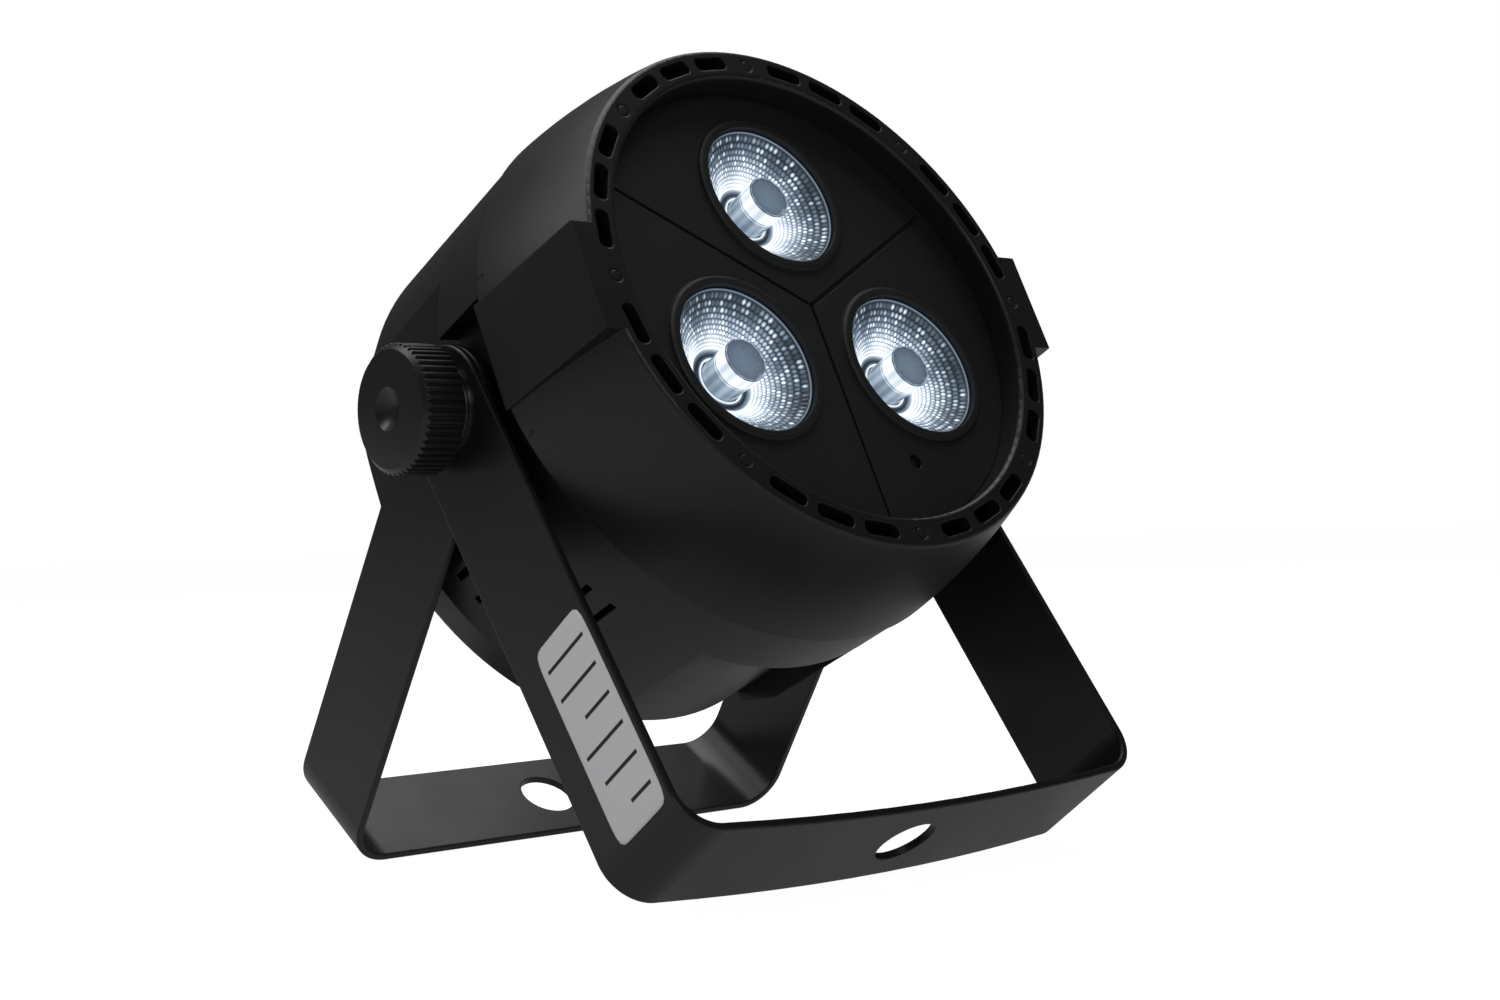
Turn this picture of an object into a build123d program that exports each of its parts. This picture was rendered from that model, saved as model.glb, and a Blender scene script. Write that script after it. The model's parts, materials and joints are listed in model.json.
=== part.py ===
from build123d import *
import os
from math import acos, atan2, cos, degrees, hypot, radians, sin, tan

# A small stage par light: a plastic head with three collimated LEDs, held by two
# steel U-brackets that fold on one pivot line and are clamped by two hand knobs.
# Millimetres, +Z up, lens side towards -Y, origin on the floor under the middle.

# ---- brackets ----
strip_width = 25.0
steel = 1.5
bend_radius = 9.0
edge_round = 0.3
outer_reach = 103.6
inner_reach = 99.6
outer_face_x = 59.7
inner_face_x = 58.1
outer_splay = 36.1
strip_bow = 2.0
fixing_hole_radius = 6.25
stud_radius = 3.0
pivot_hole_radius = stud_radius + 0.08

# ---- where the pivot ends up when both strips stand on the floor ----
half_width = strip_width / 2
pivot_height = outer_reach * cos(radians(outer_splay)) + half_width * sin(radians(outer_splay))
edge_lean = degrees(atan2(half_width, inner_reach))
inner_splay = edge_lean + degrees(acos(pivot_height / hypot(inner_reach, half_width)))


def ground_reach(reach, splay):
    return reach * sin(radians(splay)) + half_width * cos(radians(splay))


# ---- safety eye behind the head, the rearmost point ----
tilt = 25.5
up_lean = radians(tilt)
back_n = -36.0
eye_u = 52.9
eye_wire = 1.2
eye_radius = 5.0
eye_gap = 0.4
eye_centre_n = back_n - eye_gap - eye_wire - eye_radius
eye_back_reach = eye_u * sin(up_lean) - eye_centre_n * cos(up_lean) + eye_radius + eye_wire
back_reach = max(ground_reach(inner_reach, inner_splay), eye_back_reach)
pivot_y = (ground_reach(outer_reach, outer_splay) - back_reach) / 2

# ---- head: radii about the lamp axis, n is the distance ahead of the pivot ----
rim_n = 50.0
rim_radius = 55.4
rim_inner_radius = 49.2
flange = 3.0
recess_depth = 6.0
wall = 2.4
seam_n = 20.0
seam_radius = 61.0
flare_radius = 58.9
flare_n = 36.0
mark_radius = 52.4
slot_length = 8.4
slot_width = 3.0
slot_pitch = 11.7
pad_half_height = 11.0
pad_x_front = 58.5
pad_x_seam = 61.2

panel_n = rim_n - recess_depth
panel_thickness = 2.5
panel_radius = rim_inner_radius - 0.1
lens_radius = 15.6
lens_pitch = 25.3
lens_angles = {"top": 90, "left": 210, "right": 330}
ir_radius = 36.7
ir_angle = -70

housing_front_radius = 60.7
housing_mid_radius = 60.3
shoulder_n = -25.0
shoulder_radius = 59.7
back_radius = 56.2
pocket_x = 54.5
notch_half_width = 22.0
notch_n = 6.0
notch_radius = 54.0
seat_radius = 50.2
opening_radius = 44.5
seat_depth = 1.7
end_wall = 2.8
screw_angles = (59, 121, 239, 301)
screw_circle = 53.6
panel_screw_circle = 47.4

board_n = 25.0
board_thickness = 1.6
board_radius = 43.0
board_screw_circle = 38.0
sink_base = 3.0
fin_height = 13.0

os.makedirs("parts", exist_ok=True)

head = Plane(origin=(0, pivot_y, pivot_height), x_dir=(1, 0, 0), z_dir=(0, -cos(up_lean), sin(up_lean)))
pivot_line = Plane(origin=head.origin, x_dir=(0, 1, 0), z_dir=(1, 0, 0))


def axis_of(plane):
    return Axis(plane.origin, plane.z_dir)


def section_of(plane):
    # the half plane through the plane's own axis: x stays, y runs along the axis
    return Plane(origin=plane.origin, x_dir=plane.x_dir, z_dir=-plane.y_dir)


def head_at(x, u, n=0):
    # a plane facing forward, with its origin at a place in the head
    return Plane(origin=head.from_local_coords((x, u, n)), x_dir=head.x_dir, z_dir=head.z_dir)


def polar(radius, angle, n=0):
    return head_at(radius * cos(radians(angle)), radius * sin(radians(angle)), n)


def turned(plane, points):
    # a solid of revolution about the plane's axis, from (radius, height) points
    with BuildPart() as body:
        with BuildSketch(section_of(plane)):
            with BuildLine():
                Polyline(*points, close=True)
            make_face()
        revolve(axis=axis_of(plane))
    return body.part


def disc(plane, radius, low, high):
    with BuildPart() as body:
        with BuildSketch(plane.offset(low)):
            Circle(radius)
        extrude(amount=high - low)
    return body.part


def block(low, high, plane=head):
    # a box between two corners in the plane's own coordinates
    width, depth, height = (b - a for a, b in zip(low, high))
    with BuildPart() as body:
        with BuildSketch(plane.offset(low[2])):
            with Locations(((low[0] + high[0]) / 2, (low[1] + high[1]) / 2)):
                Rectangle(width, depth)
        extrude(amount=height)
    return body.part


def save(part, name):
    part.label = name
    export_step(part, f"parts/{name}.step")


# ================= front casing: flared drum, rim, vents and side pads =================
boss_radius = 3.6
pilot_radius = 1.25
tube_wall = 1.8
ledge = 1.6
ledge_top_n = panel_n - panel_thickness
web_half_height = 17.0
boss_length = 18.0
pilot_depth = 15.0
mark_count = 8
mark_depth = 0.35
head_section = section_of(head)
outside_x = 70.0

with BuildPart() as front_casing:
    with BuildSketch(head_section):
        with BuildLine():
            ThreePointArc((seam_radius, seam_n), (flare_radius, flare_n), (rim_radius, rim_n))
            Polyline(
                (rim_radius, rim_n),
                (rim_inner_radius, rim_n),
                (rim_inner_radius, ledge_top_n),
                (rim_inner_radius - ledge, ledge_top_n),
                (rim_inner_radius - ledge, ledge_top_n - ledge),
                (rim_inner_radius + tube_wall, ledge_top_n - ledge),
                (rim_inner_radius + tube_wall, rim_n - flange),
                (rim_radius - wall, rim_n - flange),
            )
            ThreePointArc(
                (rim_radius - wall, rim_n - flange),
                (flare_radius - wall, flare_n),
                (seam_radius - wall, seam_n),
            )
            Line((seam_radius - wall, seam_n), (seam_radius, seam_n))
        make_face()
        fillet(vertices().group_by(Axis.Y)[-1], radius=0.9)
    revolve(axis=axis_of(head))
    # side pads, flat and drafted, standing proud of the drum
    with BuildSketch(head_section):
        for side in (-1, 1):
            with BuildLine():
                Polyline(
                    (side * (pocket_x - wall), seam_n),
                    (side * pad_x_seam, seam_n),
                    (side * pad_x_front, rim_n),
                    (side * (rim_inner_radius + tube_wall + 1), rim_n),
                    (side * (rim_inner_radius + tube_wall + 1), rim_n - flange),
                    (side * (pocket_x - wall), rim_n - 2 * flange),
                    close=True,
                )
            make_face()
    extrude(amount=pad_half_height, both=True)
    # webs behind the pads close the casing where the rear housing is cut back
    for side in (-1, 1):
        low_x, high_x = sorted((side * (pocket_x - wall), side * (seam_radius - wall)))
        with BuildSketch(head.offset(seam_n)):
            with Locations(((low_x + high_x) / 2, 0)):
                Rectangle(high_x - low_x, 2 * web_half_height)
        extrude(amount=wall)
    # screw bosses
    with BuildSketch(head.offset(seam_n)):
        for angle in screw_angles:
            with PolarLocations(screw_circle, 1, start_angle=angle):
                Circle(boss_radius)
    extrude(amount=boss_length)
    with BuildSketch(head.offset(seam_n)):
        for angle in screw_angles:
            with PolarLocations(screw_circle, 1, start_angle=angle):
                Circle(pilot_radius)
    extrude(amount=pilot_depth, mode=Mode.SUBTRACT)
    # vent slots in the rim, three between each pair of marks
    with BuildSketch(head.offset(rim_n)):
        for step in (-1, 0, 1):
            with PolarLocations(mark_radius, mark_count, start_angle=180 / mark_count + step * slot_pitch):
                RectangleRounded(slot_width, slot_length, radius=1.3)
    extrude(amount=-2 * flange, mode=Mode.SUBTRACT)
    with BuildSketch(head.offset(rim_n)):
        with PolarLocations(mark_radius, mark_count):
            Circle(1.5)
            Circle(1.0, mode=Mode.SUBTRACT)
    extrude(amount=-mark_depth, mode=Mode.SUBTRACT)
save(front_casing.part, "front_casing")

# ================= front panel: grooves in three sectors, a raised lip at each lens =================
lip_height = 0.9
lip_width = 2.0
aperture = lens_radius + 0.15
groove_width = 0.9
groove_depth = 0.7
ir_hole_radius = 1.5

with BuildPart() as front_panel:
    with BuildSketch(head.offset(panel_n - panel_thickness)):
        Circle(panel_radius)
    extrude(amount=panel_thickness)
    with BuildSketch(head.offset(panel_n)):
        with PolarLocations(lens_pitch, 3, start_angle=90):
            Circle(aperture + lip_width)
    extrude(amount=lip_height)
    lip_top = panel_n + lip_height
    lip_edges = edges().filter_by_position(axis_of(head), lip_top - 0.01, lip_top + 0.01)
    fillet(lip_edges, radius=lip_height * 0.9)
    with BuildSketch(head.offset(panel_n + lip_height)):
        with PolarLocations(lens_pitch, 3, start_angle=90):
            Circle(aperture)
    extrude(amount=-panel_thickness - lip_height, mode=Mode.SUBTRACT)
    with BuildSketch(head.offset(panel_n)):
        with PolarLocations(panel_radius / 2, 3, start_angle=30):
            Rectangle(panel_radius - 1.5, groove_width)
        Circle(groove_width * 0.8)
    extrude(amount=-groove_depth, mode=Mode.SUBTRACT)
    with BuildSketch(head.offset(panel_n)):
        with PolarLocations(ir_radius, 1, start_angle=ir_angle):
            Circle(ir_hole_radius)
    extrude(amount=-panel_thickness, mode=Mode.SUBTRACT)
save(front_panel.part, "front_panel")

# ================= optics: a collimator, its holder and an emitter in each sector =================
flange_radius = 16.6
flange_top_n = panel_n - panel_thickness
lens_face_n = panel_n - 0.4
lens_foot_n = board_n + board_thickness + 2.4
holder_radius = 17.2
well_radius = 4.0

for place, angle in lens_angles.items():
    station = polar(lens_pitch, angle)
    lens = turned(station, [
        (0, lens_face_n - 4.5),
        (well_radius - 0.6, lens_face_n - 5.0),
        (well_radius, lens_face_n),
        (lens_radius, lens_face_n),
        (lens_radius, flange_top_n),
        (flange_radius, flange_top_n),
        (flange_radius, flange_top_n - 1.2),
        (15.2, flange_top_n - 1.2),
        (11.6, lens_foot_n + 5.0),
        (6.4, lens_foot_n),
        (4.6, lens_foot_n),
        (4.2, lens_foot_n + 4.6),
        (0, lens_foot_n + 5.6),
    ])
    save(lens, f"lens_{place}")
    holder = turned(station, [
        (15.5, flange_top_n - 1.2),
        (holder_radius, flange_top_n - 1.2),
        (holder_radius, board_n + board_thickness),
        (holder_radius - 1.4, board_n + board_thickness),
        (holder_radius - 1.4, flange_top_n - 3.2),
        (15.5, flange_top_n - 2.4),
    ])
    save(holder, f"lens_holder_{place}")
    with BuildPart() as emitter:
        with BuildSketch(polar(lens_pitch, angle, board_n + board_thickness)):
            RectangleRounded(7.0, 7.0, radius=0.6)
        extrude(amount=1.2)
        with BuildSketch(polar(lens_pitch, angle, board_n + board_thickness)):
            Circle(2.8)
        extrude(amount=2.2)
        with BuildSketch(section_of(station)):
            with BuildLine():
                Line((0, board_n + board_thickness + 2.2), (2.8, board_n + board_thickness + 2.2))
                ThreePointArc(
                    (2.8, board_n + board_thickness + 2.2),
                    (2.0, board_n + board_thickness + 3.5),
                    (0, board_n + board_thickness + 4.0),
                )
                Line((0, board_n + board_thickness + 4.0), (0, board_n + board_thickness + 2.2))
            make_face()
        revolve(axis=axis_of(station))
    save(emitter.part, f"emitter_{place}")

with BuildPart() as led_board:
    with BuildSketch(head.offset(board_n)):
        Circle(board_radius)
        with PolarLocations(board_screw_circle, 3, start_angle=30):
            Circle(1.6, mode=Mode.SUBTRACT)
    extrude(amount=board_thickness)
save(led_board.part, "led_board")

fin_count = 11
fin_gap = 7.0
fin_thickness = 1.6
with BuildPart() as heat_sink:
    with BuildSketch(head.offset(board_n - sink_base)):
        Circle(board_radius + 1)
    extrude(amount=sink_base)
    for fin in range(fin_count):
        fin_x = (fin - (fin_count - 1) / 2) * fin_gap
        with BuildSketch(head.offset(board_n - sink_base)):
            with Locations((fin_x, 0)):
                Rectangle(fin_thickness, 2 * (board_radius**2 - fin_x**2) ** 0.5)
        extrude(amount=-fin_height)
    with BuildSketch(head.offset(board_n)):
        with PolarLocations(board_screw_circle, 3, start_angle=30):
            Circle(1.3)
    extrude(amount=-sink_base, mode=Mode.SUBTRACT)
save(heat_sink.part, "heat_sink")

with BuildPart() as ir_receiver:
    with BuildSketch(polar(ir_radius, ir_angle, ledge_top_n - 3.0)):
        Rectangle(6.0, 5.4)
    extrude(amount=2.8)
    with BuildSketch(polar(ir_radius, ir_angle, ledge_top_n - 0.2)):
        Circle(1.35)
    extrude(amount=1.6)
save(ir_receiver.part, "ir_receiver")

# ================= rear housing: drum, side pockets for the brackets, lower notch, vents =================
inner_radius = housing_mid_radius - wall
pocket_half_height = 27.0
pocket_top_front = 13.2
pocket_step_n = 4.0
vent_front_n = 7.0
vent_back_n = -19.0
vent_width = 1.5
vent_pitch = 5.5
vent_count = 5
vent_first = 48.5
insert_radius = 4.5
insert_outer_x = 55.2
insert_inner_x = 45.0
pivot_boss_radius = 8.5
pivot_boss_x = 55.6
corner = 2.6
eye_boss_radius = 3.2
eye_boss = 6.0
eye_stem = 7.0
screw_hole_radius = 1.6
screw_recess_radius = 2.9
screw_recess = 4.0
panel_screw_pilot = 1.1
notch_block = 60.0

with BuildPart() as housing_cavity:
    with BuildSketch(section_of(head)):
        with BuildLine():
            Polyline(
                (0, seam_n),
                (inner_radius, seam_n),
                (inner_radius, shoulder_n),
                (back_radius - wall, back_n + end_wall),
                (0, back_n + end_wall),
                close=True,
            )
        make_face()
    revolve(axis=axis_of(head))
    for side in (-1, 1):
        low_x, high_x = sorted((side * (pocket_x - wall), side * outside_x))
        pocket = block((low_x, -pocket_half_height, back_n), (high_x, pocket_half_height, seam_n))
        add(pocket, mode=Mode.SUBTRACT)
    with BuildSketch(head.offset(notch_n + wall)):
        with Locations((0, -notch_block)):
            Rectangle(2 * (notch_half_width + wall), notch_block)
        Circle(notch_radius - wall, mode=Mode.SUBTRACT)
    extrude(amount=back_n - notch_n, mode=Mode.SUBTRACT)

with BuildPart() as rear_housing:
    with BuildSketch(section_of(head)):
        with BuildLine():
            Line((0, seam_n), (housing_front_radius, seam_n))
            ThreePointArc(
                (housing_front_radius, seam_n), (housing_mid_radius, 0), (shoulder_radius, shoulder_n)
            )
            Polyline((shoulder_radius, shoulder_n), (back_radius, back_n), (0, back_n), (0, seam_n))
        make_face()
        fillet(vertices().group_by(Axis.Y)[0].sort_by(Axis.X)[-1], radius=corner)
    revolve(axis=axis_of(head))
    add(housing_cavity.part, mode=Mode.SUBTRACT)
    # pockets beside the pivot, open at the back, where the bracket legs swing
    for side in (-1, 1):
        low_x, high_x = sorted((side * pocket_x, side * outside_x))
        add(
            block((low_x, -pocket_half_height, back_n - 1), (high_x, pocket_half_height, pocket_step_n)),
            mode=Mode.SUBTRACT,
        )
        add(
            block((low_x, -pocket_half_height, pocket_step_n), (high_x, pocket_top_front, seam_n)),
            mode=Mode.SUBTRACT,
        )
    # notch along the underside
    with BuildSketch(head.offset(notch_n)):
        with Locations((0, -notch_block)):
            Rectangle(2 * notch_half_width, notch_block)
        Circle(notch_radius, mode=Mode.SUBTRACT)
    extrude(amount=back_n - notch_n - 1, mode=Mode.SUBTRACT)
    # pivot bosses
    for side in (-1, 1):
        with BuildSketch(pivot_line.offset(side * insert_inner_x)):
            Circle(pivot_boss_radius)
        extrude(amount=side * (pivot_boss_x - insert_inner_x))
    for side in (-1, 1):
        with BuildSketch(pivot_line.offset(side * insert_inner_x)):
            Circle(insert_radius)
        extrude(amount=side * (insert_outer_x - insert_inner_x), mode=Mode.SUBTRACT)
        with BuildSketch(pivot_line.offset(side * insert_inner_x)):
            Circle(stud_radius + 0.3)
        extrude(amount=side * (pivot_boss_x - insert_inner_x), mode=Mode.SUBTRACT)
    # opening for the rear panel with a seat round it
    with BuildSketch(head.offset(back_n)):
        Circle(seat_radius)
    extrude(amount=seat_depth, mode=Mode.SUBTRACT)
    with BuildSketch(head.offset(back_n)):
        Circle(opening_radius)
    extrude(amount=end_wall, mode=Mode.SUBTRACT)
    # screw bosses, and the holes for the casing screws and the panel screws
    with BuildSketch(head.offset(back_n + seat_depth)):
        for angle in screw_angles:
            with PolarLocations(screw_circle, 1, start_angle=angle):
                Circle(boss_radius)
    extrude(amount=seam_n - back_n - seat_depth)
    with BuildSketch(head.offset(back_n)):
        for angle in screw_angles:
            with PolarLocations(screw_circle, 1, start_angle=angle):
                Circle(screw_hole_radius)
    extrude(amount=seam_n - back_n, mode=Mode.SUBTRACT)
    with BuildSketch(head.offset(back_n - 1)):
        for angle in screw_angles:
            with PolarLocations(screw_circle, 1, start_angle=angle):
                Circle(screw_recess_radius)
    extrude(amount=screw_recess + 1, mode=Mode.SUBTRACT)
    # boss for the safety eye's stem
    with BuildSketch(head_at(0, eye_u, back_n + end_wall)):
        Circle(eye_boss_radius)
    extrude(amount=eye_boss)
    with BuildSketch(head_at(0, eye_u, back_n)):
        Circle(eye_wire)
    extrude(amount=eye_stem, mode=Mode.SUBTRACT)
    with BuildSketch(head.offset(back_n)):
        with PolarLocations(panel_screw_circle, 4, start_angle=45):
            Circle(panel_screw_pilot)
    extrude(amount=end_wall + 1, mode=Mode.SUBTRACT)
    # vent slots low on both flanks
    with BuildSketch(head.offset(vent_back_n)):
        for step in range(vent_count):
            for angle in (-vent_first + step * vent_pitch, vent_first - 180 - step * vent_pitch):
                with PolarLocations(housing_mid_radius, 1, start_angle=angle):
                    Rectangle(2.5 * wall, vent_width)
    extrude(amount=vent_front_n - vent_back_n, mode=Mode.SUBTRACT)
save(rear_housing.part, "rear_housing")

# ================= rear panel with its connectors, display and buttons =================
panel_low_n = back_n + 0.1
panel_high_n = back_n + seat_depth
rear_face = panel_low_n
display_at = (0, 29.0)
display_size = (32.0, 14.0)
button_u = 13.5
button_x = {"menu": 18.0, "down": 6.0, "up": -6.0, "enter": -18.0}
button_radius = 3.0
button_travel = 0.8
mic_at = (-27.0, 22.0)
inlet_at = (0, -30.5)
inlet_body = (27.0, 19.5)
inlet_flange = (31.0, 24.0)
dmx_x = 30.0
dmx_u = -4.0
dmx_flange = 26.0
dmx_radius = 11.5

with BuildPart() as rear_panel:
    with BuildSketch(head.offset(panel_low_n)):
        Circle(seat_radius - 0.2)
        with Locations(display_at):
            Rectangle(*display_size, mode=Mode.SUBTRACT)
        for x in button_x.values():
            with Locations((x, button_u)):
                Circle(button_radius + 0.1, mode=Mode.SUBTRACT)
        with Locations(mic_at):
            Circle(1.2, mode=Mode.SUBTRACT)
        with Locations(inlet_at):
            Rectangle(*inlet_body, mode=Mode.SUBTRACT)
        with Locations((-dmx_x, dmx_u), (dmx_x, dmx_u)):
            Circle(dmx_radius, mode=Mode.SUBTRACT)
        with PolarLocations(panel_screw_circle, 4, start_angle=45):
            Circle(1.4, mode=Mode.SUBTRACT)
    extrude(amount=panel_high_n - panel_low_n)
save(rear_panel.part, "rear_panel")

with BuildPart() as display_window:
    with BuildSketch(head_at(*display_at, panel_low_n)):
        Rectangle(display_size[0] - 0.2, display_size[1] - 0.2)
    extrude(amount=panel_high_n - panel_low_n)
save(display_window.part, "display_window")

control_board_n = panel_high_n + 9.0
with BuildPart() as control_board:
    with BuildSketch(head.offset(control_board_n)):
        with Locations((0, 22.8)):
            Rectangle(50.0, 31.0)
    extrude(amount=board_thickness)
save(control_board.part, "control_board")

with BuildPart() as display_module:
    with BuildSketch(head_at(*display_at, panel_high_n + 1.0)):
        Rectangle(30.0, 12.5)
    extrude(amount=control_board_n - panel_high_n - 1.0)
    with BuildSketch(head_at(*display_at, panel_high_n + 1.0)):
        with GridLocations(7.2, 0, 4, 1):
            Rectangle(5.0, 9.0)
            Rectangle(3.4, 3.2, mode=Mode.SUBTRACT)
    extrude(amount=-0.3)
save(display_module.part, "display_module")

cap_out = 1.6
cap_flange = 1.0
for name, x in button_x.items():
    with BuildPart() as button:
        with BuildSketch(head_at(x, button_u, rear_face - cap_out)):
            Circle(button_radius)
        extrude(amount=cap_out + panel_high_n - rear_face)
        fillet(edges().group_by(axis_of(head))[0], radius=0.5)
        with BuildSketch(head_at(x, button_u, panel_high_n)):
            Circle(button_radius + 0.9)
        extrude(amount=cap_flange)
        with BuildSketch(head_at(x, button_u, panel_high_n + cap_flange)):
            Circle(1.6)
        extrude(amount=1.5)
    save(button.part, f"button_{name}")

switch_top_n = panel_high_n + cap_flange + 1.5 + button_travel + 0.1
with BuildPart() as tact_switches:
    with BuildSketch(head.offset(switch_top_n)):
        with Locations(*((x, button_u) for x in button_x.values())):
            Circle(1.7)
    extrude(amount=1.0)
    with BuildSketch(head.offset(switch_top_n + 1.0)):
        with Locations(*((x, button_u) for x in button_x.values())):
            Rectangle(6.0, 6.0)
    extrude(amount=control_board_n - switch_top_n - 1.0)
save(tact_switches.part, "tact_switches")

with BuildPart() as microphone:
    with BuildSketch(head_at(*mic_at, panel_high_n + 0.2)):
        Circle(3.0)
    extrude(amount=5.0)
save(microphone.part, "microphone")

# mains inlet: a shrouded socket with three blades
inlet_depth = 20.0
flange_thickness = 2.0
mouth_depth = 17.0
with BuildPart() as power_inlet:
    with BuildSketch(head_at(*inlet_at, rear_face - flange_thickness)):
        RectangleRounded(*inlet_flange, radius=2.0)
    extrude(amount=flange_thickness)
    fillet(edges().group_by(axis_of(head))[0], radius=0.6)
    with BuildSketch(head_at(*inlet_at, rear_face)):
        Rectangle(inlet_body[0] - 0.3, inlet_body[1] - 0.3)
    extrude(amount=inlet_depth)
    with BuildSketch(head_at(*inlet_at, rear_face - flange_thickness)):
        with BuildLine():
            Polyline(
                (-12.0, 8.0),
                (12.0, 8.0),
                (12.0, -3.5),
                (7.5, -8.0),
                (-7.5, -8.0),
                (-12.0, -3.5),
                close=True,
            )
        make_face()
    extrude(amount=mouth_depth, mode=Mode.SUBTRACT)
save(power_inlet.part, "power_inlet")

blade_places = ((0, 2.0), (-7.0, -2.0), (7.0, -2.0))
with BuildPart() as inlet_blades:
    with BuildSketch(head_at(*inlet_at, rear_face + 1.0)):
        with Locations(*blade_places):
            Rectangle(2.0, 4.0)
    extrude(amount=14.0)
save(inlet_blades.part, "inlet_blades")

# data sockets: three-pin round connectors, pins on the way in, holes on the way out
socket_depth = 18.0
shell_flange = 2.2
bore_depth = 15.0
pin_recess = 5.2
socket_screw_at = 10.2


def socket_shell(x, bore_radius):
    with BuildPart() as shell:
        with BuildSketch(head_at(x, dmx_u, rear_face - shell_flange)):
            RectangleRounded(dmx_flange, dmx_flange, radius=3.0)
        extrude(amount=shell_flange)
        fillet(edges().group_by(axis_of(head))[0], radius=0.6)
        with BuildSketch(head_at(x, dmx_u, rear_face)):
            Circle(dmx_radius - 0.15)
        extrude(amount=socket_depth)
        with BuildSketch(head_at(x, dmx_u, rear_face - shell_flange)):
            Circle(bore_radius)
        extrude(amount=bore_depth, mode=Mode.SUBTRACT)
        with BuildSketch(head_at(x, dmx_u, rear_face - shell_flange)):
            with Locations((-socket_screw_at, socket_screw_at), (socket_screw_at, -socket_screw_at)):
                Circle(1.4)
        extrude(amount=shell_flange, mode=Mode.SUBTRACT)
    return shell.part


dmx_input = socket_shell(dmx_x, 8.2)
save(dmx_input, "dmx_input")
pin_places = [(3.6 * cos(radians(a)), 3.6 * sin(radians(a))) for a in (30, 150, 270)]
with BuildPart() as dmx_input_pins:
    with BuildSketch(head_at(dmx_x, dmx_u, rear_face - shell_flange + pin_recess)):
        with Locations(*pin_places):
            Circle(1.2)
    extrude(amount=bore_depth - pin_recess)
    fillet(edges().group_by(axis_of(head))[0], radius=0.5)
save(dmx_input_pins.part, "dmx_input_pins")

latch_low_u = dmx_u + 7.9
latch_high_u = dmx_u + 10.9
latch_travel = 1.0
with BuildPart() as dmx_output:
    add(socket_shell(-dmx_x, 9.4))
    with BuildSketch(head_at(-dmx_x, dmx_u, rear_face - 1.0)):
        Circle(6.6)
        with Locations(*pin_places):
            Circle(1.35, mode=Mode.SUBTRACT)
    extrude(amount=bore_depth - 1.0)
    add(
        block(
            (-dmx_x - 3.1, latch_low_u - latch_travel - 0.1, rear_face - 2.3),
            (-dmx_x + 3.1, latch_high_u + 0.1, rear_face + 4.5),
        ),
        mode=Mode.SUBTRACT,
    )
save(dmx_output.part, "dmx_output")

with BuildPart() as dmx_output_latch:
    with BuildSketch(head_at(-dmx_x, (latch_low_u + latch_high_u) / 2, rear_face - 3.0)):
        RectangleRounded(5.8, latch_high_u - latch_low_u, radius=0.6)
    extrude(amount=6.4)
    fillet(edges().group_by(axis_of(head))[0], radius=0.3)
save(dmx_output_latch.part, "dmx_output_latch")


def screw_group(plane, places, head_radius, head_height, shank_radius, shank_length):
    # pan-head screws with a cross recess, pointing along the plane's axis
    with BuildPart() as screws:
        with BuildSketch(plane):
            with Locations(*places):
                Circle(head_radius)
        extrude(amount=head_height)
        with BuildSketch(plane.offset(head_height)):
            with Locations(*places):
                Circle(shank_radius)
        extrude(amount=shank_length)
        with BuildSketch(plane):
            with Locations(*places):
                Rectangle(head_radius * 1.2, head_radius * 0.28)
                Rectangle(head_radius * 0.28, head_radius * 1.2)
        extrude(amount=head_height * 0.6, mode=Mode.SUBTRACT)
    return screws.part


def ring_places(radius, angles):
    return [(radius * cos(radians(a)), radius * sin(radians(a))) for a in angles]


casing_screws = screw_group(
    head.offset(back_n + 1.7), ring_places(screw_circle, screw_angles), 2.7, 2.3, 1.24, 58.0
)
save(casing_screws, "casing_screws")
panel_screws = screw_group(
    head.offset(panel_low_n - 1.5), ring_places(panel_screw_circle, (45, 135, 225, 315)), 2.3, 1.5, 1.05, 4.2
)
save(panel_screws, "panel_screws")
socket_places = [
    (side * dmx_x + along * socket_screw_at, dmx_u - along * socket_screw_at)
    for side in (-1, 1)
    for along in (-1, 1)
]
socket_head = 1.3
socket_screw_plane = head.offset(rear_face - shell_flange - socket_head)
socket_screws = screw_group(socket_screw_plane, socket_places, 2.1, socket_head, 1.1, 2.1)
save(socket_screws, "socket_screws")
with BuildPart() as board_screws:
    with BuildSketch(head.offset(board_n + board_thickness)):
        with PolarLocations(board_screw_circle, 3, start_angle=30):
            Circle(2.4)
    extrude(amount=1.4)
    with BuildSketch(head.offset(board_n + board_thickness)):
        with PolarLocations(board_screw_circle, 3, start_angle=30):
            Circle(1.25)
    extrude(amount=-board_thickness - sink_base)
save(board_screws.part, "board_screws")

# ================= power supply behind the heat sink =================
power_board_n = -10.0
with BuildPart() as power_board:
    with BuildSketch(head.offset(power_board_n)):
        Rectangle(74.0, 44.0)
    extrude(amount=board_thickness)
save(power_board.part, "power_board")

with BuildPart() as transformer:
    with BuildSketch(head_at(24.0, 12.0, power_board_n + board_thickness)):
        RectangleRounded(19.0, 16.0, radius=1.0)
    extrude(amount=14.0)
save(transformer.part, "transformer")

with BuildPart() as capacitors:
    with BuildSketch(head.offset(power_board_n + board_thickness)):
        with Locations((-4.0, 12.0)):
            Circle(6.3)
        with Locations((-20.0, 12.0)):
            Circle(5.0)
        with Locations((-20.0, -8.0)):
            Circle(4.0)
    extrude(amount=13.0)
save(capacitors.part, "capacitors")

with BuildPart() as fuse_link:
    with BuildSketch(head_at(20.0, -12.0, power_board_n + board_thickness)):
        Circle(2.6)
    extrude(amount=8.0)
save(fuse_link.part, "fuse_link")

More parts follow.
